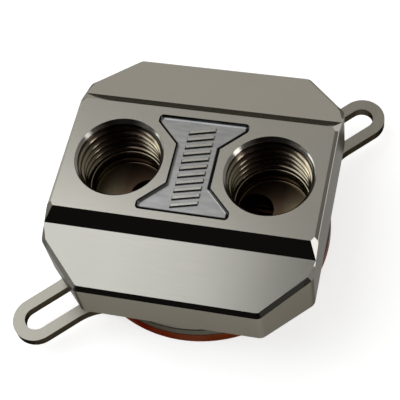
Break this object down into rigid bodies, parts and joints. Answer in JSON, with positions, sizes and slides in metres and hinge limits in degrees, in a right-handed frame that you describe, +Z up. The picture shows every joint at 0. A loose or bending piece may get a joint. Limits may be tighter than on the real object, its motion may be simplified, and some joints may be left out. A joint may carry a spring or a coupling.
{
  "type": "liquid cooling cold plate",
  "caption": "Octagonal nickel-plated cold plate with two threaded coolant ports in a raised ridge, a round finned copper base and a bracket with slotted ears.",
  "frame": {"origin": "centre of the copper base's underside, the face that lies on the chip", "axes": "+Z up, out of the two ports; +X along the line of the two ports; the ears lie on the diagonal between +X and +Y"},
  "size_m": [0.0504, 0.0504, 0.0188],
  "materials": {
    "nickel_plate": "satin nickel plate over brass, fine brushed grain, polished bevels",
    "copper": "bare turned copper",
    "stainless": "satin stainless sheet, laser-cut edges",
    "seal_rubber": "matte black nitrile rubber",
    "screw_steel": "stainless socket screws"
  },
  "bodies": {
    "root": {"upper_body": "nickel_plate", "base_plate": "copper", "mounting_bracket": "stainless", "sealing_ring": "seal_rubber", "base_screw_1": "screw_steel", "base_screw_2": "screw_steel", "base_screw_3": "screw_steel", "base_screw_4": "screw_steel", "base_screw_5": "screw_steel", "base_screw_6": "screw_steel"}
  },
  "joints": []
}
